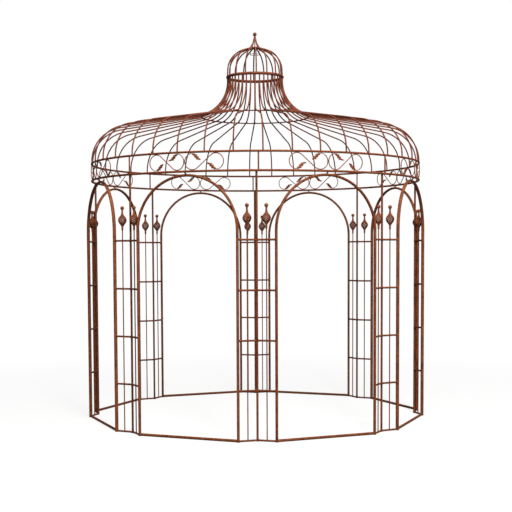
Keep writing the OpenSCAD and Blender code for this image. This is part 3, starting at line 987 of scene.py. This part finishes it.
def weld_tree(material):
    """Geometry nodes: a lumpy bead on every point, sized and turned by its attributes."""
    tree, given = new_growth("weld_beads", {"Seed": "Int"})
    size = add_node(tree, "GeometryNodeInputNamedAttribute", {
        "Name": "bead_size"}, data_type="FLOAT_VECTOR")
    axis = add_node(tree, "GeometryNodeInputNamedAttribute", {
        "Name": "bead_axis"}, data_type="FLOAT_VECTOR")
    turn = add_node(tree, "FunctionNodeAlignRotationToVector", {"Vector": axis}, axis="Z")
    blob = add_node(tree, "GeometryNodeMeshUVSphere", {"Radius": 1.0, "Segments": 8, "Rings": 5})
    vary = add_node(tree, "FunctionNodeRandomValue", {
        "Min": 0.88, "Max": 1.12, "Seed": given["Seed"]}, data_type="FLOAT")
    scale = add_node(tree, "ShaderNodeVectorMath", {0: size, "Scale": vary}, operation="SCALE")
    beads = add_node(tree, "GeometryNodeInstanceOnPoints", {
        "Points": given["Geometry"], "Instance": blob, "Rotation": turn, "Scale": scale})
    real = add_node(tree, "GeometryNodeRealizeInstances", {"Geometry": beads})
    # lumps about 6 mm apart, up to 1.5 mm high or deep
    lumps = add_node(tree, "ShaderNodeTexNoise", {"Scale": 160.0, "Detail": 1.0})
    lift = add_node(tree, "ShaderNodeMath", {
        0: lumps, 1: 0.003, 2: -0.0015}, operation="MULTIPLY_ADD")
    outward = add_node(tree, "GeometryNodeInputNormal")
    push = add_node(tree, "ShaderNodeVectorMath", {0: outward, "Scale": lift}, operation="SCALE")
    lumpy = add_node(tree, "GeometryNodeSetPosition", {"Geometry": real, "Offset": push})
    end_growth(tree, lumpy, material)
    return tree


def weld_list(swell, roof):
    """Place, axis and half sizes of every bead on the frame."""
    beads = []
    hoop_z = hoop_height(roof)

    def bead(matrix, point, axis, bar, flat):
        """Notes a bead around the end of a bar along the axis; flat is its half length
        for each unit of its radius."""
        r = bar / 2 * swell
        beads.append((matrix @ Vector(point), (matrix.to_3x3() @ Vector(axis)).normalized(),
                      (r, r, r * flat)))

    for k in range(BAYS):
        pillar, bay = at_pillar(k), at_bay(k)
        for i in range(RUNGS):
            z = FOOT_Z + i * RUNG_PITCH
            for s in (-1, 1):
                leg = Vector((s * LEG_HALF, -LEG_Y, z))
                post = Vector((0, -POST_Y, z))
                along = (leg - post).normalized()
                bead(pillar, leg - along * LEG_D / 2, along, RUNG_D, 0.4)
                bead(pillar, post + along * POST_D / 2, along, RUNG_D, 0.4)
                bead(pillar, (s * THIN_X, -THIN_Y, z + RUNG_D / 2), UP, THIN_D, 0.5)
        bead(pillar, (0, -POST_Y - POST_D / 2, LOWER_Z), UP, LOWER_BAR, 0.6)
        bar = at_pillar(k, math.asin(END_BAR_SHIFT / RING_R))
        bead(bar, (0, -RING_R, LOWER_Z + LOWER_BAR / 2), UP, END_BAR_D, 0.4)
        bead(bar, (0, -RING_R, UPPER_Z - UPPER_BAR / 2), UP, END_BAR_D, 0.4)
        for s in (-1, 1):
            bead(bay, (s * (FRAME_HALF - LEG_D / 2), -FRAME_Y, FOOT_Z), (1, 0, 0), THRESHOLD_D,
                 0.4)
        nub = Vector((0, FRAME_Y - RING_R, ARCH_DROP)).normalized()
        crown = Vector((0, -FRAME_Y, LOWER_Z - ARCH_DROP))
        bead(bay, crown + nub * LEG_D / 2, nub, NUB_D, 0.4)
        bead(bay, Vector((0, -RING_R, LOWER_Z)) - nub * LOWER_BAR / 2, nub, NUB_D, 0.4)
        for i in range(RIBS_PER_BAY):
            turn = (i + 0.5) * TURN / RIBS_PER_BAY + RIB_TURN
            bead(at_pillar(k, turn), (0, -RING_R, UPPER_Z + UPPER_BAR / 2), UP,
                 roof.rib, 0.5)
            rib = at_pillar(k, turn + NECK_TURN)
            bead(rib, (0, -COLLAR_R, COLLAR_Z - COLLAR_BAR / 2), UP, roof.rib, 0.5)
            bead(rib, (0, -roof.hoop, hoop_z + roof.hoop_rod / 2), (0, 1, 0),
                 roof.hoop_rod, 0.9)
    for i in range(LANTERN_RIBS):
        rib = Matrix.Rotation(i * 2 * math.pi / LANTERN_RIBS + LANTERN_TURN, 4, "Z")
        bead(rib, (0, -COLLAR_R, COLLAR_Z + COLLAR_BAR / 2), UP, LANTERN_ROD, 0.5)
        bead(rib, (0, -CROWN_R - CROWN_BAR / 2, CROWN_Z), (0, 1, 0), LANTERN_ROD, 0.7)
    for i in range(FINIAL_WIRES):
        wire = Matrix.Rotation(i * 2 * math.pi / FINIAL_WIRES, 4, "Z")
        bead(wire, (CROWN_R, 0, CROWN_Z + CROWN_BAR / 2), UP, FINIAL_WIRE_D, 0.5)
    return beads


class GAZEBO_OT_welds(bpy.types.Operator):
    """Lay a weld bead at every joint of the bars"""
    bl_idname = "gazebo.welds"
    bl_label = "Weld beads"

    def execute(self, context):
        size = context.scene.gazebo_welds
        beads = weld_list(size.swell, context.scene.gazebo_roof)
        spots, axes, sizes = zip(*beads)
        piece = grown("weld_beads", spots, weld_tree(MATERIALS["trellis_bar"]),
                      {"Seed": size.seed}, {"bead_size": sizes, "bead_axis": axes})
        finish_piece(piece, "trellis_bar")
        return {"FINISHED"}


# --- lamp ring ---------------------------------------------------------------

LAMP_R = 0.047
LAMP_D = 0.005
# the ring hangs this far below the crown ring
LAMP_DROP = 0.058
LAMP_HANGERS = 3
LAMP_TURN = 0.5
HANGER_R = 0.002


class GAZEBO_OT_lamp_ring(bpy.types.Operator):
    """Hang the small ring for a lamp inside the lantern"""
    bl_idname = "gazebo.lamp_ring"
    bl_label = "Lamp ring"

    def execute(self, context):
        z = CROWN_Z - LAMP_DROP
        shapes = [hoop_shape(LAMP_R, z, LAMP_D, 32, 8)]
        for i in range(LAMP_HANGERS):
            a = 2 * math.pi * i / LAMP_HANGERS + LAMP_TURN
            out = Vector((math.cos(a), math.sin(a), 0))
            path = [out * (CROWN_R - 0.004) + Vector((0, 0, CROWN_Z - CROWN_BAR / 2 + 0.002)),
                    out * (LAMP_R + 0.001) + Vector((0, 0, z + 0.02)),
                    out * LAMP_R + Vector((0, 0, z))]
            shapes.append(tube(path, HANGER_R, 8, Vector((-out.y, out.x, 0))))
        piece = mesh_object("lamp_ring", *join(shapes))
        finish_piece(piece, "roof_rod")
        return {"FINISHED"}


# --- stage -------------------------------------------------------------------

FLOOR_HALF = 30
# duller tone that the metal sees, so that its undersides stay dark
BOUNCE_TONE = "#4a4744"
# share of even glow near the gazebo, which leaves the shadows in
GLOW_SHARE = 0.8


def white_backdrop(name, paper_tone):
    """Pale studio paper: nearly white to the camera, and duller in the light it throws
    back. Its glow grows from a share beside the gazebo to full a few metres away."""
    material = bpy.data.materials.new(name)
    tree = clear_tree(material)
    path = add_node(tree, "ShaderNodeLightPath").outputs
    seen = add_node(tree, "ShaderNodeMath", {
        0: path["Is Camera Ray"], 1: path["Is Glossy Ray"]}, operation="MAXIMUM")
    seen = add_node(tree, "ShaderNodeMath", {
        0: seen, 1: path["Is Transmission Ray"]}, operation="MAXIMUM")
    where = add_node(tree, "ShaderNodeTexCoord").outputs["Object"]
    far = add_node(tree, "ShaderNodeVectorMath", {0: where}, operation="LENGTH")
    fade = add_node(tree, "ShaderNodeMapRange", {
        "Value": far, "From Min": 1.6, "From Max": 6.0, "To Min": GLOW_SHARE,
        "To Max": 1.0})
    amount = add_node(tree, "ShaderNodeMath", {0: seen, 1: fade}, operation="MULTIPLY")
    tone = add_node(tree, "ShaderNodeMix", {
        "Factor": seen, "A": paint(BOUNCE_TONE), "B": paper_tone}, data_type="RGBA")
    paper = add_node(tree, "ShaderNodeBsdfDiffuse", {"Color": tone})
    glow = add_node(tree, "ShaderNodeEmission", {"Color": (1, 1, 1, 1), "Strength": 1.0})
    both = add_node(tree, "ShaderNodeMixShader", {"Fac": amount, 1: paper, 2: glow})
    add_node(tree, "ShaderNodeOutputMaterial", {"Surface": both})
    return material


def white_world(level):
    """Even daylight from all round, and plain white to the camera."""
    world = bpy.data.worlds.new("studio_daylight")
    bpy.context.scene.world = world
    tree = clear_tree(world)
    path = add_node(tree, "ShaderNodeLightPath").outputs
    seen = add_node(tree, "ShaderNodeMath", {
        0: path["Is Camera Ray"], 1: path["Is Transmission Ray"]}, operation="MAXIMUM")
    around = add_node(tree, "ShaderNodeBackground", {"Color": (1, 1, 1, 1), "Strength": level})
    white = add_node(tree, "ShaderNodeBackground", {"Color": (1, 1, 1, 1), "Strength": 1.0})
    both = add_node(tree, "ShaderNodeMixShader", {"Fac": seen, 1: around, 2: white})
    add_node(tree, "ShaderNodeOutputWorld", {"Surface": both})


def softbox(name, spot, target, size, power):
    """A rectangular lamp that faces its target."""
    lamp = bpy.data.lights.new(name, "AREA")
    lamp.shape = "RECTANGLE"
    lamp.size, lamp.size_y = size
    lamp.energy = power
    holder = new_object(name, lamp)
    holder.location = spot
    aim = (Vector(target) - Vector(spot)).to_track_quat("-Z", "Y")
    holder.rotation_euler = aim.to_euler()


class GAZEBO_OT_stage(bpy.types.Operator):
    """Set the pale floor, the soft light and the camera"""
    bl_idname = "gazebo.stage"
    bl_label = "Stage"

    def execute(self, context):
        scene, size = context.scene, context.scene.gazebo_stage
        far = FLOOR_HALF
        floor = mesh_object("studio_floor", [(-far, -far, 0), (far, -far, 0), (far, far, 0),
                                             (-far, far, 0)], [[0, 1, 2, 3]], smooth=False)
        floor.data.materials.append(white_backdrop("pale_studio_paper", size.paper))
        white_world(size.daylight)
        softbox("key_softbox", (2.6, -9.8, 8.0), (0, 0, 1.8), (2.4, 2.4), size.key)
        softbox("top_softbox", (0.5, -2.0, 8.5), (0, 0, 2.0), (6.0, 6.0), size.top)
        view = bpy.data.cameras.new("camera")
        view.sensor_width = 36.0
        view.lens = size.lens
        view.shift_y = size.rise
        view.clip_end = 200.0
        view.dof.use_dof = False
        camera = new_object("camera", view)
        turn = Matrix.Rotation(size.azimuth, 4, "Z")
        spot = turn @ Vector((0, -size.distance, size.height))
        ahead = turn @ Vector((0, math.cos(size.pitch), -math.sin(size.pitch)))
        side = turn @ Vector((1, 0, 0))
        up = side.cross(ahead)
        side, up = (side * math.cos(size.roll) - up * math.sin(size.roll),
                    up * math.cos(size.roll) + side * math.sin(size.roll))
        basis = Matrix((side, up, -ahead)).transposed().to_4x4()
        camera.matrix_world = Matrix.Translation(spot) @ basis
        scene.camera = camera
        scene.view_settings.view_transform = "Standard"
        return {"FINISHED"}


# --- panel and registration --------------------------------------------------

OPERATORS = (GAZEBO_OT_finishes, GAZEBO_OT_bays, GAZEBO_OT_dome, GAZEBO_OT_lantern,
             GAZEBO_OT_rings, GAZEBO_OT_baskets, GAZEBO_OT_frieze, GAZEBO_OT_welds,
             GAZEBO_OT_lamp_ring, GAZEBO_OT_stage)
GROUPS = {
    "gazebo_finish": GazeboFinish,
    "gazebo_roof": GazeboRoof,
    "gazebo_bays": GazeboBays,
    "gazebo_lantern": GazeboLantern,
    "gazebo_rings": GazeboRings,
    "gazebo_baskets": GazeboBaskets,
    "gazebo_frieze": GazeboFrieze,
    "gazebo_welds": GazeboWelds,
    "gazebo_stage": GazeboStage,
}


class GAZEBO_PT_sidebar(bpy.types.Panel):
    """Sizes and pieces of the gazebo"""
    bl_idname = "GAZEBO_PT_sidebar"
    bl_label = "Round Garden Gazebo"
    bl_space_type = "VIEW_3D"
    bl_region_type = "UI"
    bl_category = "Gazebo"

    def draw(self, context):
        for key, group in GROUPS.items():
            box = self.layout.box()
            settings = getattr(context.scene, key)
            for name in group.__annotations__:
                box.prop(settings, name)
        for operator in OPERATORS:
            self.layout.operator(operator.bl_idname)


def register():
    """Adds the settings, the operators and the panel."""
    for key, group in GROUPS.items():
        bpy.utils.register_class(group)
        setattr(bpy.types.Scene, key, bpy.props.PointerProperty(type=group))
    for operator in OPERATORS:
        bpy.utils.register_class(operator)
    bpy.utils.register_class(GAZEBO_PT_sidebar)


def unregister():
    """Takes them away again, last first."""
    bpy.utils.unregister_class(GAZEBO_PT_sidebar)
    for operator in reversed(OPERATORS):
        bpy.utils.unregister_class(operator)
    for key, group in GROUPS.items():
        delattr(bpy.types.Scene, key)
        bpy.utils.unregister_class(group)


def main():
    """Builds the gazebo and its stage."""
    register()
    bpy.ops.gazebo.finishes()
    bpy.ops.gazebo.bays()
    bpy.ops.gazebo.dome()
    bpy.ops.gazebo.lantern()
    bpy.ops.gazebo.rings()
    bpy.ops.gazebo.baskets()
    bpy.ops.gazebo.frieze()
    bpy.ops.gazebo.welds()
    bpy.ops.gazebo.lamp_ring()
    bpy.ops.gazebo.stage()


if __name__ == "__main__":
    main()
